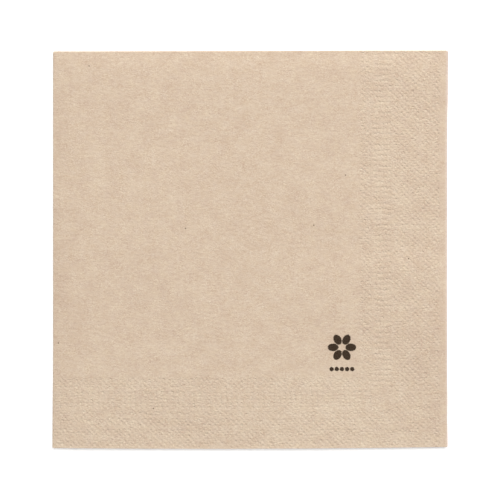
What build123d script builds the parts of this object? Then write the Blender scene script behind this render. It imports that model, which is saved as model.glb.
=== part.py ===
from build123d import *
import math
import os

# A two-ply paper napkin, folded in quarters and lying flat. Sizes are in millimetres.
# The folds are at -X and +Y, the open edges at +X and -Y, and +Z is up.
# The origin is on the surface that the napkin lies on, under the middle of its outline.

# The sheet, opened out flat
SHEET_WIDTH = 397.5  # along X, halved by the first fold
SHEET_LENGTH = 400.0  # along Y, halved by the second fold
LAYER = 0.30  # caliper of the sheet: two creped plies pressed together at their edges

# The first fold brings the right half under the left one and makes a pair of layers
FIRST_GAP = 0.35  # air between the two layers of a pair, and the inner diameter of the bend
FIRST_STEP = 0.9  # how much further the inner layer of a pair reaches at the open edge

# The second fold turns the far half of the pair under the near half
SECOND_GAP = 0.50  # air between the two pairs, and the inner diameter of the bend
SECOND_STEP = 0.8  # how much further the lower pair reaches at the open edge

# Heights of the folded stack
PAIR_HEIGHT = 2 * LAYER + FIRST_GAP
STACK_HEIGHT = 2 * PAIR_HEIGHT + SECOND_GAP
FOLD_AXIS_HEIGHT = STACK_HEIGHT / 2

# Leg lengths, so that the sheet measured along its mid-surface keeps its flat size
FIRST_BEND_LENGTH = math.pi * (FIRST_GAP + LAYER) / 2
OUTER_LEG = (SHEET_WIDTH - FIRST_BEND_LENGTH - FIRST_STEP) / 2
INNER_LEG = OUTER_LEG + FIRST_STEP
INNER_BEND_LENGTH = math.pi * (SECOND_GAP + LAYER) / 2
OUTER_BEND_LENGTH = math.pi * (SECOND_GAP + 2 * PAIR_HEIGHT - LAYER) / 2
UPPER_RUN = (SHEET_LENGTH - INNER_BEND_LENGTH - SECOND_STEP) / 2
LOWER_RUN = UPPER_RUN + SECOND_STEP

# The outer layers go the longer way round the second fold, so they end short of the inner ones.
# The first fold holds the layers level along its own edge, so the shortfall grows from there.
OUTER_SHORTFALL = (OUTER_BEND_LENGTH - INNER_BEND_LENGTH) / 2

# Places of the two bend lines, with the outline centred on the origin
FOLDED_WIDTH = PAIR_HEIGHT / 2 + max(OUTER_LEG, INNER_LEG)
FOLDED_LENGTH = STACK_HEIGHT / 2 + max(UPPER_RUN, LOWER_RUN)
FIRST_BEND_X = -FOLDED_WIDTH / 2 + PAIR_HEIGHT / 2
SECOND_BEND_Y = FOLDED_LENGTH / 2 - STACK_HEIGHT / 2


def pair_section():
    """Cut across the upper pair of layers: two flat legs joined by the half-round first bend.

    Local x runs along the legs from the bend line, and local y is the height above the pair's middle.
    The outer layer, which is the napkin's top face, is the upper leg.
    """
    inside = FIRST_GAP / 2
    outside = inside + LAYER
    outline = [
        Line((OUTER_LEG, outside), (0, outside)),
        ThreePointArc((0, outside), (-outside, 0), (0, -outside)),
        Line((0, -outside), (INNER_LEG, -outside)),
        Line((INNER_LEG, -outside), (INNER_LEG, -inside)),
        Line((INNER_LEG, -inside), (0, -inside)),
        ThreePointArc((0, -inside), (-inside, 0), (0, inside)),
        Line((0, inside), (OUTER_LEG, inside)),
        Line((OUTER_LEG, inside), (OUTER_LEG, outside)),
    ]
    return make_face(outline)


def folded_pairs():
    """The pair carried along Y, turned over at the second fold and carried back below itself."""
    section_plane = Plane(
        origin=(FIRST_BEND_X, SECOND_BEND_Y, STACK_HEIGHT - PAIR_HEIGHT / 2),
        x_dir=(1, 0, 0),
        z_dir=(0, -1, 0),
    )
    upper_section = section_plane * pair_section()
    fold_axis = Axis((0, SECOND_BEND_Y, FOLD_AXIS_HEIGHT), (-1, 0, 0))
    lower_section = upper_section.rotate(fold_axis, 180)
    upper_pair = extrude(upper_section, amount=UPPER_RUN, dir=(0, -1, 0))
    bend = revolve(upper_section, axis=fold_axis, revolution_arc=180)
    lower_pair = extrude(lower_section, amount=LOWER_RUN, dir=(0, -1, 0))
    return upper_pair + bend + lower_pair


def edge_trim(run, height):
    """Wedge cut from an outer layer's open end, from nothing at the first fold to the full shortfall.

    It starts clear of the round bend, is a little thicker than the layer, and stops inside the gap.
    """
    end_y = SECOND_BEND_Y - run
    right = FIRST_BEND_X + OUTER_LEG
    outline = Polyline(
        (FIRST_BEND_X, end_y),
        (right, end_y + OUTER_SHORTFALL),
        (right, end_y),
        close=True,
    )
    thickness = LAYER + FIRST_GAP
    wedge = extrude(make_face(outline), amount=thickness / 2, both=True)
    return Pos(0, 0, height) * wedge


def build_napkin():
    """The whole folded sheet as one closed solid."""
    napkin = folded_pairs()
    napkin -= edge_trim(UPPER_RUN, STACK_HEIGHT - LAYER / 2)
    napkin -= edge_trim(LOWER_RUN, LAYER / 2)
    napkin.label = "napkin"
    return napkin


os.makedirs("parts", exist_ok=True)
export_step(build_napkin(), "parts/napkin.step")
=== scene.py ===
import bisect
import math

import bpy
import numpy as np
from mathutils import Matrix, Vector


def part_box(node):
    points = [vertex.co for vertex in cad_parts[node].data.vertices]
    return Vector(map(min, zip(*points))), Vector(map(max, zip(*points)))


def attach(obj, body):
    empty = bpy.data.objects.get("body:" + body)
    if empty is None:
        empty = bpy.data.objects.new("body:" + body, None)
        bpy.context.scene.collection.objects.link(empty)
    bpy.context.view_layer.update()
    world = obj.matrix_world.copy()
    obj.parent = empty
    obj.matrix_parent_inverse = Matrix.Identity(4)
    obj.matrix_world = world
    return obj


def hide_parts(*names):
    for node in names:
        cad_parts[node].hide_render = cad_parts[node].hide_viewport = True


# A two-ply kraft napkin, folded in quarters and lying flat: the first fold on the left, the second
# on the far side, the open edges at the right and at the near side, with an embossed border.
# Lengths are in millimetres until the mesh is made, and those of the lights and the floor are in
# metres. Plan places x and y run from the left fold and from the near edge of the CAD box.

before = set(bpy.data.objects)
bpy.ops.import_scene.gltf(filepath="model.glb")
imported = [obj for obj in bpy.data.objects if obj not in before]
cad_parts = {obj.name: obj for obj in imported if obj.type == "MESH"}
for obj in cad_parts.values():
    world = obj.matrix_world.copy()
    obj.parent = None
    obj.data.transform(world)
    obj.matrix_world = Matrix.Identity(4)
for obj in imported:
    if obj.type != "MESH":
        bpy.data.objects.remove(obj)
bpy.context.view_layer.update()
box_low, box_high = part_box("napkin")

MM = 0.001
WIDTH = (box_high.x - box_low.x) / MM
LENGTH = (box_high.y - box_low.y) / MM

# The sheet, opened out flat, as in the CAD model
SHEET_WIDTH = 397.5
SHEET_LENGTH = 400.0
LAYER = 0.30
FIRST_STEP = 0.9
SECOND_STEP = 0.8
OUTER_LEG = (SHEET_WIDTH - FIRST_STEP) / 2
INNER_LEG = OUTER_LEG + FIRST_STEP
UPPER_RUN = (SHEET_LENGTH - SECOND_STEP) / 2
LOWER_RUN = UPPER_RUN + SECOND_STEP

# Air between the layers where they are pressed together, what a fold adds, and the least there is
PRESSED_GAP = 0.05
FOLD_GAP = 0.09
LEAST_GAP = 0.04
# Air where the stack is loose, in the three gaps and below the stack, each as a base and the extra
# that comes and goes over the plan
UPPER_GAP = (0.30, 0.08)
MIDDLE_GAP = (0.38, 0.11)
LOWER_GAP = (0.28, 0.07)
LIFT = (0.10, 0.05)
# How far in from each side the pressing is felt, and how strong it is at the near side
LEFT_REACH = 5.5
FAR_REACH = 7.0
RIGHT_REACH = 3.2
NEAR_REACH = 16.0
NEAR_PRESS = 0.45

# The cut edges stand apart at the right edge, in the lip at the near edge and at the open corner.
# The lip's heights are each a base and an extra, and it is highest around one place along the edge.
EDGE_OPENING = 0.14
UPPER_LIP = (0.08, 0.14)
MIDDLE_LIP = (0.04, 0.12)
LOWER_LIP = (0.0, 0.08)
LIP_REACH = 2.0
LIP_PEAK_X = 133
LIP_PEAK_REACH = 40
LIP_PEAK_EXTRA = 0.7
UPPER_CORNER = 0.12
MIDDLE_CORNER = 0.14
CORNER_REACH = 16.0

# The low ridge across the open side: where it rises along x, and its feet and crest along y
RIDGE_HEIGHT = 0.62
RIDGE_RISE = (112, 168)
RIDGE_NEAR_FOOT = 18
RIDGE_CREST = 89
RIDGE_FAR_FOOT = 103

# How the layers are out of line at the open edges: the top layer reaches further at the open corner,
# the lower pair ends short at the far right, and the upper pair reaches over the near edge
TOP_REACH_RIGHT = 0.35
LOWER_SHORT_RIGHT = 0.20
LOWER_SHORT_NEAR = 0.10
UPPER_REACH_NEAR = (0.45, 0.30)
# How far the cut edges wander, and how far in from the edge that is felt
CUT_WANDER = 0.07
CUT_REACH = 1.5

# How far each side of the folded outline stands out from the CAD box. The left side flares at its
# near end and the right side at both ends. The far side stands out more towards the right. The near
# side stands out around its middle, and draws in towards its ends.
LEFT_FLARE = 0.34
RIGHT_OUT = 0.15
RIGHT_FAR_FLARE = 0.66
RIGHT_NEAR_FLARE = 0.14
FAR_OUT = 0.50
FAR_RISE = 0.24
NEAR_OUT = 0.13
NEAR_BOW = 2.6

# The embossed border. Its bands are measured inwards from two lines: one is this far inside the
# right cut edge, and the other this far beyond the near one.
RIGHT_MARGIN = 3.5
NEAR_OVERRUN = 4.3
PITCH = 2.69
DASH_PITCH = 1.75
DOT_FIELD = (0.0, 22.8)
DASH_BAND = (24.0, 33.2)
INNER_STRIP = (34.1, 39.7)
BORDER_END = 40.2
PIN_RADIUS = 0.58
DASH_HALF_LENGTH = 0.66
DASH_HALF_WIDTH = 0.50
BAND_SOFTNESS = 0.2
DOT_DEPTH = 0.130
DASH_DEPTH = 0.14
STRIP_DEPTH = 0.12
CORNER_DOT_SHARE = 0.35
CRUMPLE_DEPTH = 0.040
UNDERSIDE_SHARE = 0.5
# The deepest pin leaves this much paper
LEAST_PAPER = 0.06
DEEPEST = LAYER - LEAST_PAPER
# The pressing comes and goes over the border, as a base and an extra, between two limits
PRESSING = (0.85, 0.5)
PRESSING_LIMITS = (0.15, 1.6)
# Every fourth row of pins in the wide field is weaker
ROW_CYCLE = 4
WEAK_ROW = 3
WEAK_SHARE = 0.4
# How far the rows of pins and dashes sway
SWAY = 0.36
# How far from the fold lines the embossing and the print start
EMBOSS_CLEARANCE = 2
PRINT_CLEARANCE = 1

# The printed mark: its middle in plan, its ring of petals, and the row of dots below it
MARK_X = 146.0
MARK_Y = 51.5
PETALS = 6
PETAL_MIDDLE = 4.45
PETAL_LENGTH = 2.75
PETAL_WIDTH = 1.95
DOT_ROW_DROP = 11.0
DOT_SPACING = 2.6
DOT_COUNT = 5
DOT_RADIUS = 1.1

# Colours, as linear red, green and blue
WARM_PULP = (0.498, 0.388, 0.278, 1)
GREY_PULP = (0.492, 0.389, 0.307, 1)
# Painted light: the paler colour put on the right cut edge, and how much of it
PAINTED_EDGE_LIGHT = (0.74, 0.65, 0.65, 1)
PAINTED_EDGE_LIGHT_SHARE = 0.30
DARK_SPECK = (0.150, 0.115, 0.082, 1)
INK = (0.018, 0.008, 0.002, 1)
WHITE = (1, 1, 1, 1)
FLOOR_WHITE = (0.95, 0.95, 0.95, 1)

rng = np.random.default_rng(11)


# Smooth random fields

def make_waves(count, shortest, longest):
    """Random plane waves with wavelengths between the two given, in mm."""
    wavelength = shortest * (longest / shortest) ** rng.random(count)
    heading = rng.random(count) * 2 * math.pi
    phase = rng.random(count) * 2 * math.pi
    return wavelength, heading, phase


def field(waves, x, y):
    """The sum of the waves at plan places, scaled to stay mostly between -1 and 1."""
    total = np.zeros_like(np.asarray(x, float))
    for wavelength, heading, phase in zip(*waves):
        turn_per_mm = 2 * math.pi / wavelength
        along = x * math.cos(heading) + y * math.sin(heading)
        total = total + np.sin(turn_per_mm * along + phase)
    return total / math.sqrt(2 * len(waves[0]))


UPPER_GAP_WAVES = make_waves(9, 35, 110)
MIDDLE_GAP_WAVES = make_waves(9, 50, 140)
LOWER_GAP_WAVES = make_waves(9, 40, 120)
LIFT_WAVES = make_waves(7, 60, 140)
EDGE_WAVES = [make_waves(7, 14, 60) for _ in range(4)]
EMBOSS_WAVES = make_waves(14, 7, 30)
SWAY_WAVES = [make_waves(12, 5, 16) for _ in range(2)]
CRUMPLE_WAVES = make_waves(24, 1.7, 4.5)
CUT_WAVES = [make_waves(8, 6, 40) for _ in range(4)]
# The near part of the sheet is painted lighter, as painted light, by this much, with the change between
# these two places in y
NEAR_PAINTED_LIGHT = 0.024
NEAR_PAINTED_LIGHT_CHANGE = (60, 25)
# Patches of painted light and shade, lighter or darker: the amount, the middle, and how far it reaches
PAINTED_LIGHT_AND_SHADE_PATCHES = [
    (-0.036, 190, 34, 18, 38),
    (-0.026, 0, 60, 12, 60),
    (0.040, 146, 22, 30, 20),
    (0.026, 168, 140, 12, 60),
    (0.014, 20, 36, 14, 10),
]


# The stack of four layers

def lerp(start, end, share):
    return start + (end - start) * share


def smooth_step(start, end, value):
    share = np.clip((value - start) / (end - start), 0, 1)
    return share * share * (3 - 2 * share)


def sized(size, share):
    """A size given as a base and an extra, with that share of the extra."""
    base, extra = size
    return base + extra * share


def layer_heights(x, y):
    """Heights of the middles of the four layers, from the top one down. The stack is loose in the
    middle, pressed down at the folds and at the right edge, and has a small lip at the near edge."""
    left, right = np.maximum(x, 0), np.maximum(WIDTH - x, 0)
    near, far = np.maximum(y, 0), np.maximum(LENGTH - y, 0)
    at_left, at_far = np.exp(-left / LEFT_REACH), np.exp(-(far / FAR_REACH) ** 1.5)
    at_right, at_near = np.exp(-right / RIGHT_REACH), np.exp(-near / NEAR_REACH)
    clear_of_folds = (1 - at_left) * (1 - at_far)
    loose = clear_of_folds * (1 - at_right) * (1 - NEAR_PRESS * at_near)
    upper = PRESSED_GAP + FOLD_GAP * at_left + loose * sized(UPPER_GAP, field(UPPER_GAP_WAVES, x, y))
    middle = PRESSED_GAP + FOLD_GAP * at_far + loose * sized(MIDDLE_GAP, field(MIDDLE_GAP_WAVES, x, y))
    lower = PRESSED_GAP + FOLD_GAP * at_left + loose * sized(LOWER_GAP, field(LOWER_GAP_WAVES, x, y))
    lift = loose * np.maximum(sized(LIFT, field(LIFT_WAVES, x, y)), 0)
    middle = middle + loose * ridge_height(x, y)
    # The cut edges are a little apart, by an amount that changes along them
    apart = [0.5 + 0.5 * field(waves, x, y) for waves in EDGE_WAVES]
    opening = EDGE_OPENING * at_right * clear_of_folds
    lip_peak = np.exp(-((x - LIP_PEAK_X) / LIP_PEAK_REACH) ** 2)
    lip = np.exp(-near / LIP_REACH) * clear_of_folds * (1 + LIP_PEAK_EXTRA * lip_peak)
    corner = np.exp(-(right + near) / CORNER_REACH)
    upper = upper + apart[0] * opening + sized(UPPER_LIP, apart[1]) * lip + UPPER_CORNER * corner
    middle = middle + apart[1] * opening + sized(MIDDLE_LIP, apart[2]) * lip + MIDDLE_CORNER * corner
    lower = lower + apart[2] * opening + sized(LOWER_LIP, apart[3]) * lip
    fourth = LAYER / 2 + lift
    third = fourth + LAYER + np.maximum(lower, LEAST_GAP)
    second = third + LAYER + np.maximum(middle, LEAST_GAP)
    first = second + LAYER + np.maximum(upper, LEAST_GAP)
    return first, second, third, fourth


def ridge_height(x, y):
    """A low ridge across the open side, with a long slope on its near side and a short one beyond."""
    across = smooth_step(*RIDGE_RISE, x)
    far_side = smooth_step(RIDGE_FAR_FOOT, RIDGE_CREST, y)
    near_side = smooth_step(RIDGE_NEAR_FOOT, RIDGE_CREST, y)
    return RIDGE_HEIGHT * across * np.where(y > RIDGE_CREST, far_side, near_side)


def fold(a, b):
    """Places of the sheet's middle surface for flat places a, b, measured from the two fold lines.
    Layer 1 has a < 0 and b > 0, layer 2 both > 0, layer 3 a > 0 and b < 0, layer 4 both < 0."""
    h1, h2, h3, h4 = layer_heights(np.zeros_like(a), LENGTH - np.abs(b))
    # The first bend. Its radius changes from the upper pair's to the lower pair's around b = 0.
    lower_share = smooth_step(1.0, -1.0, b)
    first_radius = lerp((h1 - h2) / 2, (h3 - h4) / 2, lower_share)
    quarter = math.pi * first_radius / 2
    turn = np.clip(a / first_radius, -math.pi / 2, math.pi / 2)
    bend_x = LAYER / 2 + first_radius
    straight_x = bend_x + np.abs(a) - quarter
    x = np.where(np.abs(a) > quarter, straight_x, bend_x - first_radius * np.cos(turn))
    inner_share = (1 + np.sin(turn)) / 2
    # The second bend. The outer layers go the longer way round it, so they end short of the inner
    # ones. The first fold holds the two together, so this grows towards the right, where it is half
    # of the difference.
    h1, h2, h3, h4 = layer_heights(x, np.full_like(x, LENGTH))
    outer_radius, inner_radius = (h1 - h4) / 2, (h2 - h3) / 2
    radius = lerp(outer_radius, inner_radius, inner_share)
    free = 0.5 * smooth_step(0, WIDTH, x)
    length_radius = inner_radius + (outer_radius - inner_radius) * (1 - inner_share) * free
    quarter = math.pi * length_radius / 2
    turn = np.clip(b / length_radius, -math.pi / 2, math.pi / 2)
    bend_y = LENGTH - LAYER / 2 - outer_radius
    straight_y = bend_y - np.abs(b) + quarter
    y = np.where(np.abs(b) > quarter, straight_y, bend_y + radius * np.cos(turn))
    lower_share = (1 - np.sin(turn)) / 2
    x, y = shift_edges(x, y, inner_share, lower_share)
    h1, h2, h3, h4 = layer_heights(x, y)
    z = lerp(lerp(h1, h2, inner_share), lerp(h4, h3, inner_share), lower_share)
    x, y = warp_outline(x, y)
    return np.stack([x, y, z], axis=-1)


def shift_edges(x, y, inner_share, lower_share):
    """The layers don't line up exactly at their open edges, and the cut edges are a little uneven."""
    u, v = x / WIDTH, y / LENGTH
    outer = 1 - inner_share
    across = smooth_step(0.3, 1.0, u)
    along = smooth_step(0.7, 0.0, v)
    upper_share = 1 - lower_share
    layer_shares = [outer * upper_share, inner_share * upper_share,
                    inner_share * lower_share, outer * lower_share]
    right_edge = np.exp(-np.maximum(WIDTH - x, 0) / CUT_REACH)
    near_edge = np.exp(-np.maximum(y, 0) / CUT_REACH)
    right_cut = sum(share * field(waves, x * 0, y) for share, waves in zip(layer_shares, CUT_WAVES))
    near_cut = sum(share * field(waves, x, y * 0) for share, waves in zip(layer_shares, CUT_WAVES))
    dx = TOP_REACH_RIGHT * layer_shares[0] * (1 - v) ** 2 - LOWER_SHORT_RIGHT * lower_share * v
    dy = LOWER_SHORT_NEAR * lower_share - sized(UPPER_REACH_NEAR, outer) * upper_share
    x = x + across * dx + CUT_WANDER * right_cut * right_edge
    y = y + along * dy + CUT_WANDER * near_cut * near_edge
    return x, y


def warp_outline(x, y):
    """The folded outline isn't quite square: each side bows or flares by part of a millimetre."""
    u, v = x / WIDTH, y / LENGTH
    nearest_quarter = smooth_step(0.25, 0.0, v)
    farthest_third = np.clip((v - 0.68) / 0.32, 0, 1) ** 2
    left = -LEFT_FLARE * nearest_quarter
    right = RIGHT_OUT + RIGHT_FAR_FLARE * farthest_third + RIGHT_NEAR_FLARE * nearest_quarter
    far = FAR_OUT + FAR_RISE * np.sin(2.7 * (u - 0.46))
    near = NEAR_BOW * (u - 0.45) ** 2 - NEAR_OUT
    return x + lerp(left, right, np.clip(u, 0, 1)), y + lerp(near, far, np.clip(v, 0, 1))


# The embossed border

def pin_strength(first, second):
    """A steady random number between 0.1 and 1.6 for each pin, from its two whole numbers."""
    scatter = np.sin(first * 12.9898 + second * 78.233) * 43758.5453
    return 0.1 + 1.5 * (scatter - np.floor(scatter))


def dot_lattice(e_right, e_near):
    """Pins in a square pattern that is turned by 45 degrees: highest at a pin's middle."""
    p, q = (e_right + e_near) / PITCH, (e_right - e_near) / PITCH
    pin_p, pin_q = np.round(p), np.round(q)
    distance = PITCH / math.sqrt(2) * np.hypot(p - pin_p, q - pin_q)
    return np.exp(-(distance / PIN_RADIUS) ** 2) * pin_strength(pin_p, pin_q)


def dash_lattice(across, along):
    """Short dashes that point across the border, in straight rows."""
    row = (across - sum(DASH_BAND) / 2) / DASH_PITCH
    place = along / PITCH
    from_row = DASH_PITCH * (row - np.round(row))
    from_place = PITCH * (place - np.round(place))
    shape = np.exp(-(from_row / DASH_HALF_LENGTH) ** 4) * np.exp(-(from_place / DASH_HALF_WIDTH) ** 2)
    return shape * pin_strength(np.round(row), np.round(place))


def window(band, value):
    """1 inside the band, with soft ends."""
    start, end = band
    after_start = smooth_step(start - BAND_SOFTNESS, start + BAND_SOFTNESS, value)
    return after_start * smooth_step(end + BAND_SOFTNESS, end - BAND_SOFTNESS, value)


def emboss_depth(e_right, e_near):
    """Depth of the pressed pattern, from the distances inwards from the border's two lines."""
    inward = np.minimum(e_right, e_near)
    from_corner = np.maximum(e_right, e_near)
    row = np.round(2 * inward / PITCH)
    dots = dot_lattice(e_right, e_near)
    row_strength = np.where(row % ROW_CYCLE == WEAK_ROW, WEAK_SHARE, 1.0)
    field_depth = DOT_DEPTH * window(DOT_FIELD, inward) * dots * row_strength
    strip_depth = STRIP_DEPTH * window(INNER_STRIP, inward) * dots
    dashes = np.where(e_right < e_near, dash_lattice(e_right, e_near), dash_lattice(e_near, e_right))
    # The dashes stop short of the corner where the two borders meet, which has weak pins instead
    beside = smooth_step(DASH_BAND[1] + 0.2, DASH_BAND[1] + 0.8, from_corner)
    dashes = dashes * beside + CORNER_DOT_SHARE * dots * (1 - beside)
    dash_depth = DASH_DEPTH * window(DASH_BAND, inward) * dashes
    strength = np.clip(sized(PRESSING, field(EMBOSS_WAVES, e_right, e_near)), *PRESSING_LIMITS)
    crumple = CRUMPLE_DEPTH * window((0, BORDER_END), inward) * field(CRUMPLE_WAVES, e_right, e_near)
    return np.minimum((field_depth + strip_depth + dash_depth) * strength + crumple, DEEPEST)


def border_places(a, b):
    """Distances inwards from the border's two lines, with a sway that makes the rows uneven."""
    e_right = OUTER_LEG - np.abs(a) - RIGHT_MARGIN
    e_near = np.where(b > 0, UPPER_RUN, LOWER_RUN) - np.abs(b) + NEAR_OVERRUN
    sway = SWAY * field(SWAY_WAVES[0], e_right, e_near)
    drift = SWAY * field(SWAY_WAVES[1], e_right, e_near)
    return e_right + sway, e_near + drift


def relief(a, b):
    """How far the sheet's outer face stands out from even thickness: pressed in on the top, and the
    wide field of pins standing out a little on the underside."""
    e_right, e_near = border_places(a, b)
    depth = emboss_depth(e_right, e_near)
    in_dot_field = smooth_step(DOT_FIELD[1] + 0.6, DOT_FIELD[1], np.minimum(e_right, e_near))
    under = UNDERSIDE_SHARE * depth * in_dot_field
    on_underside = np.where(b < -EMBOSS_CLEARANCE, under, 0)
    return np.where(a < -EMBOSS_CLEARANCE, np.where(b > EMBOSS_CLEARANCE, -depth, on_underside), 0)


# The mesh: cells over the flat sheet, finer where the surface has more shape

def steps(start, end, size):
    """Even lines from start to end, about size apart."""
    return np.linspace(start, end, max(1, round(abs(end - start) / size)) + 1)


def lines(*parts):
    """Joins runs of lines into one sorted run, rounded to 0.01 mm so that equal ones meet."""
    joined = np.concatenate(parts)
    return sorted({round(float(value), 2) for value in joined})


# How far from a fold its own lines reach, and how close to it the border's cells come
REACH = 10.0
BEND = 4.0
# Lines that get closer together towards a fold, and towards the cut edge of a hidden face
BEND_LINES = [0, 0.13, 0.26, 0.39, 0.53, 0.7, 0.9, 1.15, 1.5, 2.0, 2.8, BEND, 5.6, 7.8, REACH]
EDGE_LINES = [0, 0.8, 1.8, 3.2, 5.2, 8.5, 13.0]
# Sizes of cells: in the plain middle, on the hidden faces, in the margin at the right edge, beside
# the border, and in the border
INTERIOR = 5.0
HIDDEN = 12.0
MARGIN = 0.9
BESIDE_BORDER = PITCH / 2
FINE = PITCH / 6
COARSE = PITCH / 4
# The cells change size in the plain gaps between the pressed bands
FIELD_CELLS_END = 23.4
DASH_CELLS_END = 33.7
# The border's bands of cells, from its outer line inwards: where each starts and ends, and the sizes
# of its cells across and along the border, on the top face and on the underside
BANDS = [
    (0.0, FIELD_CELLS_END, (FINE, FINE), (COARSE, COARSE)),
    (FIELD_CELLS_END, DASH_CELLS_END, (DASH_PITCH / 4, COARSE), (PITCH, PITCH)),
    (DASH_CELLS_END, BORDER_END, (COARSE, COARSE), (PITCH, PITCH)),
]


def outer_face_cells():
    """The face that is outside after the folds: the top, the underside, and the two faces that meet
    between the pairs."""
    bend = [value for value in BEND_LINES if value <= BEND]
    bend_a = lines([-value for value in bend])
    inner_a = -OUTER_LEG + RIGHT_MARGIN + BORDER_END
    interior_a = lines(steps(inner_a, -REACH, INTERIOR), [-value for value in BEND_LINES])
    cells = []
    for side, run in ((1, UPPER_RUN), (-1, LOWER_RUN)):
        edge = side * run
        bend_b = lines([side * value for value in bend])
        inner_b = edge + side * (NEAR_OVERRUN - BORDER_END)
        fold_b = [side * value for value in BEND_LINES]
        interior_b = lines(steps(side * REACH, inner_b, INTERIOR), fold_b)
        cells += grid(interior_a, interior_b)
        cells += grid(lines(steps(-OUTER_LEG, inner_a, BESIDE_BORDER)), bend_b)
        cells += grid(lines(steps(-OUTER_LEG, -OUTER_LEG + RIGHT_MARGIN, MARGIN)),
                      lines(steps(side * BEND, edge, BESIDE_BORDER)))
        for start, end, top_sizes, under_sizes in BANDS:
            across, along = top_sizes if side > 0 else under_sizes
            a_start, a_end = (-OUTER_LEG + RIGHT_MARGIN + inward for inward in (start, end))
            b_start, b_end = (edge + side * min(NEAR_OVERRUN - inward, 0) for inward in (start, end))
            cells += grid(lines(steps(a_start, a_end, across)), lines(steps(side * BEND, b_start, along)))
            cells += grid(lines(steps(a_end, -BEND, along)), lines(steps(b_end, b_start, across)))
            cells += grid(bend_a, lines(steps(b_end, b_start, BESIDE_BORDER)))
    hidden_a = lines(hidden_lines(INNER_LEG))
    hidden_b = lines(hidden_lines(UPPER_RUN), [-value for value in hidden_lines(LOWER_RUN)])
    return cells + grid(hidden_a, hidden_b)


def inner_face_cells():
    """The face that is inside the pairs, which shows only at the open edges."""
    a = lines([-value for value in hidden_lines(OUTER_LEG)], hidden_lines(INNER_LEG))
    b = lines([-value for value in hidden_lines(LOWER_RUN)], hidden_lines(UPPER_RUN))
    return grid(a, b)


def hidden_lines(run):
    """Lines for a face that shows only at its ends, from the fold to the cut edge."""
    edge = [run - value for value in EDGE_LINES]
    return [*BEND_LINES, *steps(REACH, run - EDGE_LINES[-1], HIDDEN), *edge]


def grid(a_lines, b_lines):
    """The cells between two runs of lines."""
    return [(a_lines[i], a_lines[i + 1], b_lines[j], b_lines[j + 1])
            for i in range(len(a_lines) - 1) for j in range(len(b_lines) - 1)]


def corners_of(cells):
    """The corners of all the cells, each once."""
    return {(a, b) for a0, a1, b0, b1 in cells for a in (a0, a1) for b in (b0, b1)}


class Face:
    """One face of the flat sheet, as cells whose sides also take their neighbours' corners."""

    def __init__(self, cells, extra):
        self.index = {}
        self.places = []
        on_a, on_b = {}, {}
        for a, b in corners_of(cells) | set(extra):
            on_a.setdefault(a, []).append(b)
            on_b.setdefault(b, []).append(a)
        for values in (*on_a.values(), *on_b.values()):
            values.sort()
        self.polygons = [polygon for cell in cells for polygon in self.cell_polygons(cell, on_a, on_b)]

    def vertex(self, place):
        if place not in self.index:
            self.index[place] = len(self.places)
            self.places.append(place)
        return self.index[place]

    def cell_polygons(self, cell, on_a, on_b):
        """A quad, or a fan around the middle where a side has more corners on it."""
        a0, a1, b0, b1 = cell
        near_side = [(a, b0) for a in between(on_b[b0], a0, a1)]
        right_side = [(a1, b) for b in between(on_a[a1], b0, b1)]
        far_side = [(a, b1) for a in reversed(between(on_b[b1], a0, a1))]
        left_side = [(a0, b) for b in reversed(between(on_a[a0], b0, b1))]
        ring = [(a0, b0), *near_side, (a1, b0), *right_side, (a1, b1), *far_side, (a0, b1), *left_side]
        numbers = [self.vertex(place) for place in ring]
        if len(numbers) == 4:
            return [numbers]
        middle = self.vertex(((a0 + a1) / 2, (b0 + b1) / 2))
        return [[middle, numbers[i - 1], numbers[i]] for i in range(len(numbers))]


def rim_places(*cell_lists):
    """The cells' corners on the sheet's cut edges, in order round the sheet."""
    low_a, high_a = -round(OUTER_LEG, 2), round(INNER_LEG, 2)
    low_b, high_b = -round(LOWER_RUN, 2), round(UPPER_RUN, 2)
    corners = set().union(*map(corners_of, cell_lists))
    near = sorted(place for place in corners if place[1] == low_b)
    right = sorted(place for place in corners if place[0] == high_a)
    far = sorted((place for place in corners if place[1] == high_b), reverse=True)
    left = sorted((place for place in corners if place[0] == low_a), reverse=True)
    return near[:-1] + right[:-1] + far[:-1] + left[:-1]


def between(values, low, high):
    """The sorted values that lie between two others."""
    return values[bisect.bisect_right(values, low):bisect.bisect_left(values, high)]


# How far to each side the surface is compared to find which way it faces
NORMAL_STEP = 0.02
# The cut edge is a shallow groove, this deep
GROOVE_DEPTH = 0.06


def make_napkin():
    """The mesh: all the outer face's points, then the inner face's, then the groove's."""
    outer_cells, inner_cells = outer_face_cells(), inner_face_cells()
    rim = rim_places(outer_cells, inner_cells)
    outer, inner = Face(outer_cells, rim), Face(inner_cells, rim)
    flat = np.array(outer.places + inner.places + rim)
    inner_start = len(outer.places)
    groove_start = inner_start + len(inner.places)
    polygons = list(outer.polygons)
    polygons += [[inner_start + n for n in reversed(polygon)] for polygon in inner.polygons]
    cut_start = len(polygons)
    polygons += cut_edge_polygons(outer, inner, rim, inner_start, groove_start)
    mesh = bpy.data.meshes.new("napkin_sheet")
    mesh.from_pydata(sheet_points(flat, inner_start, groove_start).tolist(), [], polygons)
    mesh.validate()
    mesh.shade_smooth()
    napkin = bpy.data.objects.new("napkin_sheet", mesh)
    bpy.context.scene.collection.objects.link(napkin)
    mark_cut_edges(mesh, cut_start)
    mark_places(mesh, flat, inner_start)
    lay_out_map(mesh, flat, inner_start, groove_start, cut_start)
    return napkin


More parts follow.
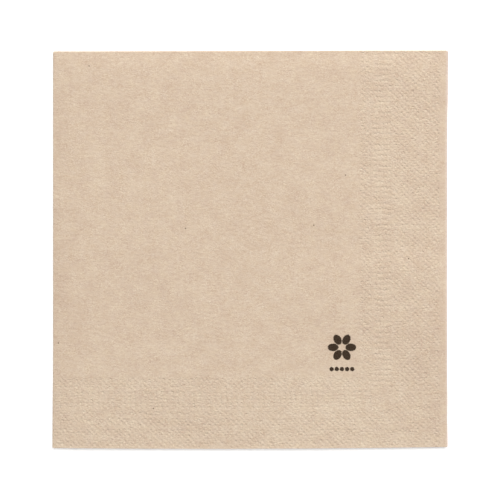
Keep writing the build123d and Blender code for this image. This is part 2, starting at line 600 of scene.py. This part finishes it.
def sheet_points(flat, inner_start, groove_start):
    """The folded places of the mesh's points, in metres, with the lowest on the floor."""
    a, b = flat[:, 0], flat[:, 1]
    along_a = fold(a + NORMAL_STEP, b) - fold(a - NORMAL_STEP, b)
    along_b = fold(a, b + NORMAL_STEP) - fold(a, b - NORMAL_STEP)
    normal = np.cross(along_a, along_b)
    normal /= np.linalg.norm(normal, axis=1, keepdims=True)
    offset = np.zeros(len(flat))
    offset[:inner_start] = LAYER / 2 + relief(a, b)[:inner_start]
    offset[inner_start:groove_start] = -LAYER / 2
    points = fold(a, b) + normal * offset[:, None]
    rim = flat[groove_start:]
    points[groove_start:] = fold(*(rim + GROOVE_DEPTH * rim_inward(rim)).T)
    points[:, 2] -= points[:, 2].min()
    return points * MM + np.array([box_low.x, box_low.y, box_low.z])


def cut_edge_polygons(outer, inner, rim, inner_start, groove_start):
    """Two rows of quads round the sheet, from the outer face to the groove and on to the inner one."""
    polygons = []
    for i, place in enumerate(rim):
        j = (i + 1) % len(rim)
        outer_i, outer_j = outer.index[place], outer.index[rim[j]]
        inner_i, inner_j = inner_start + inner.index[place], inner_start + inner.index[rim[j]]
        groove_i, groove_j = groove_start + i, groove_start + j
        polygons.append([outer_j, outer_i, groove_i, groove_j])
        polygons.append([groove_j, groove_i, inner_i, inner_j])
    return polygons


def rim_inward(places):
    """Directions on the flat sheet from the cut edge towards the middle."""
    a, b = places[:, 0], places[:, 1]
    near_enough = 0.01
    at_low_a, at_high_a = a <= near_enough - OUTER_LEG, a >= INNER_LEG - near_enough
    at_low_b, at_high_b = b <= near_enough - LOWER_RUN, b >= UPPER_RUN - near_enough
    inward_a = np.where(at_low_a, 1.0, np.where(at_high_a, -1.0, 0.0))
    inward_b = np.where(at_low_b, 1.0, np.where(at_high_b, -1.0, 0.0))
    return np.stack([inward_a, inward_b], axis=-1)


def mark_cut_edges(mesh, cut_start):
    """Keeps the two corners of the cut edge crisp."""
    sharp = set()
    for polygon in mesh.polygons[cut_start:]:
        corners = list(polygon.vertices)
        pair = corners[:2] if (polygon.index - cut_start) % 2 == 0 else corners[2:]
        sharp.add((min(pair), max(pair)))
    flags = [(min(edge.vertices), max(edge.vertices)) in sharp for edge in mesh.edges]
    attribute = mesh.attributes.get("sharp_edge") or mesh.attributes.new("sharp_edge", "BOOLEAN", "EDGE")
    attribute.data.foreach_set("value", flags)


def mark_places(mesh, flat, inner_start):
    """Values for the material: 1 on the top face of the top layer, the places in the border, the
    distance from the right cut edge, and the painted light and shade over the sheet."""
    a, b = flat[:, 0], flat[:, 1]
    on_outer = np.arange(len(flat)) < inner_start
    border_right, border_near = border_places(a, b)
    from_near_cut = np.where(b > 0, UPPER_RUN, LOWER_RUN) - np.abs(b)
    values = {
        "printed_face": (a < -PRINT_CLEARANCE) & (b > PRINT_CLEARANCE) & on_outer,
        "border_right": border_right,
        "border_near": border_near,
        "from_right_cut": OUTER_LEG - np.abs(a),
        "painted_shading": painted_shading_over_sheet(np.abs(a), from_near_cut),
    }
    for name, value in values.items():
        attribute = mesh.attributes.new(name, "FLOAT", "POINT")
        attribute.data.foreach_set("value", value.astype(np.float32))


def painted_shading_over_sheet(x, y):
    """How much lighter or darker the sheet is painted, as painted light and shade: lighter towards the
    near side, and in a few broad soft patches.
    """
    painted_shading = NEAR_PAINTED_LIGHT * smooth_step(*NEAR_PAINTED_LIGHT_CHANGE, y)
    for amount, middle_x, middle_y, reach_x, reach_y in PAINTED_LIGHT_AND_SHADE_PATCHES:
        painted_shading = painted_shading + amount * np.exp(-((x - middle_x) / reach_x) ** 2 - ((y - middle_y) / reach_y) ** 2)
    return painted_shading


def lay_out_map(mesh, flat, inner_start, groove_start, cut_start):
    """A texture map with the top face large, the underside smaller and the hidden faces small."""
    loop_vertex = np.zeros(len(mesh.loops), np.int64)
    mesh.loops.foreach_get("vertex_index", loop_vertex)
    starts = np.zeros(len(mesh.polygons), np.int64)
    totals = np.zeros(len(mesh.polygons), np.int64)
    mesh.polygons.foreach_get("loop_start", starts)
    mesh.polygons.foreach_get("loop_total", totals)
    owner = np.repeat(np.arange(len(mesh.polygons)), totals)
    place = flat[loop_vertex]
    sums = np.add.reduceat(place, starts, axis=0) / totals[:, None]
    centre = sums[owner]
    on_inner = (np.minimum.reduceat(loop_vertex, starts) >= inner_start)[owner]
    is_cut = owner >= cut_start
    # Each quarter of each face has a square of its own. The key says whether the face is the inner
    # one, and which quarter it is. The values are where the square starts, and its side.
    squares = {
        (False, 0): (0.005, 0.005, 0.680), (False, 3): (0.695, 0.005, 0.300),
        (False, 1): (0.695, 0.315, 0.140), (False, 2): (0.845, 0.315, 0.140),
        (True, 0): (0.695, 0.465, 0.140), (True, 1): (0.845, 0.465, 0.140),
        (True, 2): (0.695, 0.615, 0.140), (True, 3): (0.845, 0.615, 0.140),
    }
    quarter = np.where(centre[:, 1] > 0, np.where(centre[:, 0] < 0, 0, 1),
                       np.where(centre[:, 0] > 0, 2, 3))
    uv = np.zeros((len(loop_vertex), 2))
    for (inner, number), (start_u, start_v, side) in squares.items():
        chosen = (on_inner == inner) & (quarter == number) & ~is_cut
        uv[chosen, 0] = start_u + side * np.abs(place[chosen, 0]) / INNER_LEG
        uv[chosen, 1] = start_v + side * np.abs(place[chosen, 1]) / LOWER_RUN
    on_groove = loop_vertex >= groove_start
    level = np.where(loop_vertex < inner_start, 1.0, np.where(on_groove, 0.0, -1.0))
    lay_out_cut_edges(uv, place, centre, is_cut, level)
    layer = mesh.uv_layers.new(name="OFBake")
    layer.data.foreach_set("uv", uv.astype(np.float32).ravel())


def lay_out_cut_edges(uv, place, centre, is_cut, level):
    """The cut edges lie in strips above the faces, one strip for each side of the sheet. The level is
    1 on the outer face, 0 in the groove and -1 on the inner face."""
    first_strip, strip_spacing, strip_half_height = 0.80, 0.04, 0.012
    strip_middle, strip_half_length = 0.5, 0.49
    limits = (-OUTER_LEG, INNER_LEG, -LOWER_RUN, UPPER_RUN)
    for number, limit in enumerate(limits):
        axis = number // 2
        chosen = is_cut & (np.abs(centre[:, axis] - limit) < 1e-3)
        along = place[chosen, 1 - axis]
        uv[chosen, 0] = strip_middle + strip_half_length * along / LOWER_RUN
        uv[chosen, 1] = first_strip + strip_spacing * number + strip_half_height * level[chosen]


# Materials

def node(tree, kind, links=(), **settings):
    """Adds a node, sets its properties, and joins the inputs given in links."""
    made = tree.nodes.new(kind)
    for name, value in settings.items():
        setattr(made, name, value)
    for key, output in dict(links).items():
        tree.links.new(output, made.inputs[key])
    return made


def mesh_value(tree, name):
    """A value that the mesh carries."""
    return node(tree, "ShaderNodeAttribute", attribute_name=name).outputs["Fac"]


def mixed(tree, factor, first, second):
    """A mix from the first colour to the second. Each is a plain colour or another node's output."""
    made = node(tree, "ShaderNodeMix", {"Factor": factor}, data_type="RGBA")
    for name, colour in (("A", first), ("B", second)):
        if isinstance(colour, tuple):
            made.inputs[name].default_value = colour
        else:
            tree.links.new(colour, made.inputs[name])
    return made.outputs["Result"]


def math_node(tree, operation, first, second=0.0, third=0.0):
    """A math node whose inputs are numbers or outputs of other nodes."""
    made = tree.nodes.new("ShaderNodeMath")
    made.operation = operation
    for socket, value in zip(made.inputs, (first, second, third)):
        if isinstance(value, (int, float)):
            socket.default_value = value
        else:
            tree.links.new(value, socket)
    return made.outputs[0]


def scaled_noise(tree, place, scale, detail=2.0, roughness=0.5, distortion=0.0):
    """Noise whose grains are 1 / scale metres in size along each axis."""
    mapping = node(tree, "ShaderNodeMapping", {"Vector": place})
    mapping.inputs["Scale"].default_value = scale
    noise = node(tree, "ShaderNodeTexNoise", {"Vector": mapping.outputs[0]})
    noise.inputs["Scale"].default_value = 1.0
    noise.inputs["Detail"].default_value = detail
    noise.inputs["Roughness"].default_value = roughness
    noise.inputs["Distortion"].default_value = distortion
    return noise.outputs[0]


def centred(tree, value, amount):
    """A value around 0.5 becomes one around 0, times amount."""
    return math_node(tree, "MULTIPLY", math_node(tree, "SUBTRACT", value, 0.5), amount)


def add_all(tree, values):
    total = values[0]
    for value in values[1:]:
        total = math_node(tree, "ADD", total, value)
    return total


def soft_less(tree, value, limit, softness):
    """1 where value is below limit, 0 above it, with a soft change."""
    made = node(tree, "ShaderNodeMapRange", {"Value": value}, interpolation_type="SMOOTHSTEP")
    made.inputs["From Min"].default_value = limit + softness
    made.inputs["From Max"].default_value = limit - softness
    return made.outputs[0]


def repeated(tree, value, size):
    """A value that starts again after each stretch of the size, measured from the stretch's middle."""
    return math_node(tree, "SUBTRACT", math_node(tree, "FLOORED_MODULO", value, size), size / 2)


def outside_ink(tree, x, y):
    """How far a place lies outside the print, from x and y in mm from the mark's middle. The print is
    a plain ring of petals over a short row of dots."""
    turned = repeated(tree, math_node(tree, "ARCTAN2", x, y), 2 * math.pi / PETALS)
    radius = length_of(tree, x, y)
    outwards = math_node(tree, "MULTIPLY", radius, math_node(tree, "COSINE", turned))
    outwards = math_node(tree, "SUBTRACT", outwards, PETAL_MIDDLE)
    sideways = math_node(tree, "MULTIPLY", radius, math_node(tree, "SINE", turned))
    petal = length_of(
        tree,
        math_node(tree, "DIVIDE", outwards, PETAL_LENGTH),
        math_node(tree, "DIVIDE", sideways, PETAL_WIDTH))
    petal = math_node(tree, "MULTIPLY", math_node(tree, "SUBTRACT", petal, 1.0), PETAL_WIDTH)
    # The dots repeat along x, and stop after the last one
    half_row = DOT_SPACING * DOT_COUNT / 2
    along_dot = repeated(tree, math_node(tree, "ADD", x, half_row), DOT_SPACING)
    below = math_node(tree, "ADD", y, DOT_ROW_DROP)
    dot = math_node(tree, "SUBTRACT", length_of(tree, along_dot, below), DOT_RADIUS)
    past_end = math_node(tree, "SUBTRACT", math_node(tree, "ABSOLUTE", x), half_row)
    return math_node(tree, "MINIMUM", petal, math_node(tree, "MAXIMUM", dot, past_end))


def rounded(tree, value):
    """How far a value is from the nearest whole number, with its sign."""
    return math_node(tree, "SUBTRACT", value, math_node(tree, "ROUND", value))


def length_of(tree, x, y):
    """The distance of a place from the middle."""
    squares = [math_node(tree, "MULTIPLY", part, part) for part in (x, y)]
    return math_node(tree, "SQRT", math_node(tree, "ADD", *squares))


def inside(tree, value, band):
    """1 where value lies in the band, with soft ends."""
    start, end = band
    after_start = math_node(tree, "SUBTRACT", 1.0, soft_less(tree, value, start, BAND_SOFTNESS))
    return math_node(tree, "MULTIPLY", after_start, soft_less(tree, value, end, BAND_SOFTNESS))


def pressed_pattern(tree, place):
    """The border's pins and dashes again, sharper than the mesh can hold them, with a fine crumple:
    higher where pressed harder."""
    sway = centred(tree, scaled_noise(tree, place, (700, 700, 0)), amount=1.1)
    drift = centred(tree, scaled_noise(tree, place, (610, 640, 200)), amount=1.1)
    e_right = math_node(tree, "ADD", sway, mesh_value(tree, "border_right"))
    e_near = math_node(tree, "ADD", drift, mesh_value(tree, "border_near"))
    inward = math_node(tree, "MINIMUM", e_right, e_near)
    from_corner = math_node(tree, "MAXIMUM", e_right, e_near)
    pins = math_node(tree, "MULTIPLY", pin_pattern(tree, e_right, e_near), pin_bands(tree, inward))
    dashes = dash_pattern(tree, inward, from_corner)
    pattern = math_node(tree, "ADD", pins, dashes)
    # The pressing comes and goes, down to none
    strength = math_node(tree, "MULTIPLY_ADD", scaled_noise(tree, place, (300, 300, 0)), 4.6, -1.3)
    pattern = math_node(tree, "MULTIPLY", pattern, math_node(tree, "MAXIMUM", strength, 0.0))
    crumple = centred(tree, scaled_noise(tree, place, (1050, 1150, 300), detail=1.0), amount=2.9)
    crumple = math_node(tree, "MULTIPLY", crumple, inside(tree, inward, (0.0, BORDER_END)))
    return math_node(tree, "ADD", pattern, crumple)


def pin_pattern(tree, e_right, e_near):
    """Pins in the mesh's diagonal square pattern."""
    p = math_node(tree, "DIVIDE", math_node(tree, "ADD", e_right, e_near), PITCH)
    q = math_node(tree, "DIVIDE", math_node(tree, "SUBTRACT", e_right, e_near), PITCH)
    from_pin = length_of(tree, rounded(tree, p), rounded(tree, q))
    return soft_less(tree, from_pin, limit=0.26, softness=0.14)


def pin_bands(tree, inward):
    """1 in the inner strip and in the wide field, apart from the field's weaker rows."""
    row = math_node(tree, "ROUND", math_node(tree, "MULTIPLY", inward, 2 / PITCH))
    in_cycle = math_node(tree, "FLOORED_MODULO", row, float(ROW_CYCLE))
    tolerance = 0.1
    weak = math_node(tree, "COMPARE", in_cycle, float(WEAK_ROW), tolerance)
    row_strength = math_node(tree, "MULTIPLY_ADD", weak, WEAK_SHARE - 1, 1.0)
    in_field = math_node(tree, "MULTIPLY", inside(tree, inward, DOT_FIELD), row_strength)
    return math_node(tree, "MAXIMUM", in_field, inside(tree, inward, INNER_STRIP))


def dash_pattern(tree, inward, from_corner):
    """The band of short dashes, up to where the two borders meet."""
    from_middle = math_node(tree, "SUBTRACT", inward, sum(DASH_BAND) / 2)
    across = rounded(tree, math_node(tree, "DIVIDE", from_middle, DASH_PITCH))
    along = rounded(tree, math_node(tree, "DIVIDE", from_corner, PITCH))
    dashes = math_node(
        tree, "MULTIPLY",
        soft_less(tree, math_node(tree, "ABSOLUTE", across), limit=0.36, softness=0.12),
        soft_less(tree, math_node(tree, "ABSOLUTE", along), limit=0.17, softness=0.12))
    beside = math_node(tree, "GREATER_THAN", from_corner, DASH_BAND[1] + 0.5)
    in_band = math_node(tree, "MULTIPLY", inside(tree, inward, DASH_BAND), beside)
    return math_node(tree, "MULTIPLY", dashes, in_band)


def make_tissue(name):
    """Unbleached recycled tissue: mottled fibres, specks, fine creping, and dark ink on the top face."""
    material = bpy.data.materials.new(name)
    material.use_nodes = True
    tree = material.node_tree
    shader = tree.nodes["Principled BSDF"]
    place = node(tree, "ShaderNodeTexCoord").outputs["Object"]
    fibres = scaled_noise(tree, place, (1300, 2100, 400), detail=3.0, roughness=0.7, distortion=0.6)
    pressed = pressed_pattern(tree, place)
    printed_face = mesh_value(tree, "printed_face")

    colour = pulp_colour(tree, place, fibres, pressed)
    # The right cut edge is painted paler, as painted light: it stands for the light that the edge lets
    # through
    edge_light_mask = soft_less(tree, mesh_value(tree, "from_right_cut"), limit=0.1, softness=0.7)
    colour = mixed(tree, math_node(tree, "MULTIPLY", edge_light_mask, PAINTED_EDGE_LIGHT_SHARE), colour, PAINTED_EDGE_LIGHT)
    colour = mixed(tree, speck_cover(tree, place), colour, DARK_SPECK)
    colour = mixed(tree, ink_cover(tree, place, fibres, printed_face), colour, INK)
    tree.links.new(colour, shader.inputs["Base Color"])

    tree.links.new(surface_bump(tree, place, pressed, printed_face), shader.inputs["Normal"])
    roughness = math_node(tree, "ADD", 0.86, math_node(tree, "MULTIPLY", fibres, 0.12))
    tree.links.new(roughness, shader.inputs["Roughness"])
    shader.inputs["Specular IOR Level"].default_value = 0.08
    shader.inputs["Sheen Weight"].default_value = 0.03
    shader.inputs["Sheen Roughness"].default_value = 0.6
    return material


def pulp_colour(tree, place, fibres, pressed):
    """The colour of the pulp, from broad patches down to single fibres, with painted light and shade over
    the sheet and on the pressed pattern.
    """
    broad = scaled_noise(tree, place, (16, 20, 0), detail=2.0)
    cloudy = scaled_noise(tree, place, (110, 130, 0), detail=3.0, roughness=0.6)
    mottled = scaled_noise(tree, place, (480, 720, 0), detail=2.0, roughness=0.6, distortion=0.4)
    # The single fibres show more in some places than in others
    density = scaled_noise(tree, place, (130, 160, 0), detail=3.0)
    density = math_node(tree, "MAXIMUM", 0.2, math_node(tree, "MULTIPLY_ADD", density, 4.0, -1.0))
    brightness = add_all(tree, [
        # Painted light and shade over the sheet
        mesh_value(tree, "painted_shading"),
        centred(tree, broad, amount=0.06),
        centred(tree, cloudy, amount=0.26),
        centred(tree, mottled, amount=0.29),
        math_node(tree, "MULTIPLY", centred(tree, fibres, amount=0.69), density),
        # Painted light and shade on the relief: lighter where the pattern is pressed, and lighter and
        # darker with its crumple
        math_node(tree, "MULTIPLY", pressed, 0.035),
    ])
    greyness = scaled_noise(tree, place, (240, 260, 0), detail=2.0, roughness=0.6)
    base = mixed(tree, greyness, WARM_PULP, GREY_PULP)
    # The paler fibres are also less brown, so green and blue change more than red
    spread = node(tree, "ShaderNodeVectorMath", {"Scale": brightness}, operation="SCALE")
    spread.inputs[0].default_value = (0.85, 1.2, 1.25)
    gain = node(tree, "ShaderNodeVectorMath", {0: spread.outputs[0]}, operation="ADD")
    gain.inputs[1].default_value = (1, 1, 1)
    both = {0: base, 1: gain.outputs[0]}
    return node(tree, "ShaderNodeVectorMath", both, operation="MULTIPLY").outputs[0]


def speck_cover(tree, place):
    """A few specks of recycled fibre: 1 on a speck."""
    mapping = node(tree, "ShaderNodeMapping", {"Vector": place})
    mapping.inputs["Scale"].default_value = (62, 62, 0)
    cells = node(tree, "ShaderNodeTexVoronoi", {"Vector": mapping.outputs[0]}, voronoi_dimensions="2D")
    cells.inputs["Scale"].default_value = 1.0
    chance = node(tree, "ShaderNodeSeparateColor", {"Color": cells.outputs["Color"]}).outputs["Red"]
    rare = math_node(tree, "GREATER_THAN", chance, 0.95)
    near_middle = soft_less(tree, cells.outputs["Distance"], limit=0.020, softness=0.012)
    return math_node(tree, "MULTIPLY", rare, near_middle)


def ink_cover(tree, place, fibres, printed_face):
    """Where the ink is, on the top face only. It soaks in unevenly at its edge."""
    parts = node(tree, "ShaderNodeSeparateXYZ", {"Vector": place}).outputs
    x = math_node(tree, "DIVIDE", parts[0], MM)
    x = math_node(tree, "SUBTRACT", x, box_low.x / MM + MARK_X)
    y = math_node(tree, "DIVIDE", parts[1], MM)
    y = math_node(tree, "SUBTRACT", y, box_low.y / MM + MARK_Y)
    bleed = centred(tree, scaled_noise(tree, place, (1500, 1500, 0), detail=2.0), amount=0.7)
    distance = math_node(tree, "ADD", outside_ink(tree, x, y), bleed)
    on_face = math_node(tree, "GREATER_THAN", printed_face, 0.99)
    ink = math_node(tree, "MULTIPLY", on_face, soft_less(tree, distance, limit=0.0, softness=0.18))
    hold = math_node(tree, "SUBTRACT", 1.04, math_node(tree, "MULTIPLY", fibres, 0.16))
    return math_node(tree, "MULTIPLY", ink, hold)


def surface_bump(tree, place, pressed, printed_face):
    """Creping, loose fibres and the pressed pattern. The pattern is pressed in on the top face, and
    stands out on the others."""
    crepe = scaled_noise(tree, place, (420, 760, 0), detail=2.0, roughness=0.55, distortion=0.5)
    fuzz = scaled_noise(tree, place, (1500, 2300, 900), detail=2.0, roughness=0.6)
    fuzz_share, pressed_share = 0.45, 0.45
    relief_share = math_node(tree, "MULTIPLY_ADD", printed_face, -2 * pressed_share, pressed_share)
    height = add_all(tree, [
        crepe,
        math_node(tree, "MULTIPLY", fuzz, fuzz_share),
        math_node(tree, "MULTIPLY", pressed, relief_share),
    ])
    bump = node(tree, "ShaderNodeBump", {"Height": height})
    bump.inputs["Strength"].default_value = 1.0
    bump.inputs["Distance"].default_value = 0.00022
    return bump.outputs[0]


def make_floor_material():
    """A light table: white, and lit a little from below, so that shadows on it are faint."""
    material = bpy.data.materials.new("studio_white")
    material.use_nodes = True
    shader = material.node_tree.nodes["Principled BSDF"]
    shader.inputs["Base Color"].default_value = FLOOR_WHITE
    shader.inputs["Roughness"].default_value = 0.9
    shader.inputs["Specular IOR Level"].default_value = 0.1
    shader.inputs["Emission Color"].default_value = WHITE
    shader.inputs["Emission Strength"].default_value = 0.12
    return material


# The studio

def make_floor():
    half_side = 1.6
    mesh = bpy.data.meshes.new("studio_floor")
    signs = [(-1, -1), (1, -1), (1, 1), (-1, 1)]
    corners = [(x * half_side, y * half_side, box_low.z) for x, y in signs]
    mesh.from_pydata(corners, [], [(0, 1, 2, 3)])
    mesh.materials.append(make_floor_material())
    floor = bpy.data.objects.new("studio_floor", mesh)
    bpy.context.scene.collection.objects.link(floor)


def make_light(name, heading, elevation, distance, size, watts):
    """An area light that faces the napkin from a heading clockwise from the far side, in degrees."""
    lamp = bpy.data.lights.new(name, "AREA")
    lamp.size = size
    lamp.energy = watts
    light = bpy.data.objects.new(name, lamp)
    away = away_from(heading, elevation)
    light.location = away * distance
    light.rotation_euler = away.to_track_quat("Z", "Y").to_euler()
    bpy.context.scene.collection.objects.link(light)


def make_sun(name, heading, elevation, angle, strength):
    """A wide, even light from far off, with the same kind of heading."""
    lamp = bpy.data.lights.new(name, "SUN")
    lamp.angle = math.radians(angle)
    lamp.energy = strength
    light = bpy.data.objects.new(name, lamp)
    light.rotation_euler = away_from(heading, elevation).to_track_quat("Z", "Y").to_euler()
    bpy.context.scene.collection.objects.link(light)


def away_from(heading, elevation):
    """The direction from the napkin to a lamp."""
    turn, rise = math.radians(heading), math.radians(elevation)
    return Vector((math.sin(turn) * math.cos(rise), math.cos(turn) * math.cos(rise), math.sin(rise)))


def make_world():
    """Soft light from all round, white at the level of the floor and weaker overhead."""
    world = bpy.data.worlds.new("studio_world")
    world.use_nodes = True
    tree = world.node_tree
    background = tree.nodes["Background"]
    direction = node(tree, "ShaderNodeTexCoord").outputs["Generated"]
    height = node(tree, "ShaderNodeSeparateXYZ", {"Vector": direction}).outputs["Z"]
    level = node(tree, "ShaderNodeMapRange", {"Value": height}, interpolation_type="SMOOTHSTEP")
    level.inputs["From Min"].default_value = 0.12
    level.inputs["From Max"].default_value = 0.50
    level.inputs["To Min"].default_value = 1.0
    level.inputs["To Max"].default_value = 0.70
    tree.links.new(level.outputs[0], background.inputs["Strength"])
    background.inputs["Color"].default_value = WHITE
    bpy.context.scene.world = world


def make_camera():
    """Straight above, with a long lens. The folded outline fills about four fifths of the frame."""
    lens, sensor = 100.0, 36.0
    view_width = 252.50 * MM
    view_shift = 0.15 * MM
    data = bpy.data.cameras.new("camera")
    data.lens = lens
    data.sensor_width = sensor
    data.clip_start = 0.01
    camera = bpy.data.objects.new("camera", data)
    middle = (box_low + box_high) / 2
    distance = view_width * lens / sensor
    camera.location = (middle.x, middle.y + view_shift, box_high.z + distance)
    bpy.context.scene.collection.objects.link(camera)
    bpy.context.scene.camera = camera


make_camera()
make_world()
make_sun("key_light", heading=20, elevation=62, angle=30, strength=1.34)
make_light("raking_light", heading=20, elevation=28, distance=1.9, size=0.7, watts=24.0)
make_floor()
bpy.context.scene.view_settings.view_transform = "Standard"

napkin = make_napkin()
napkin.data.materials.append(make_tissue("kraft_tissue"))
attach(napkin, "root")
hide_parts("napkin")
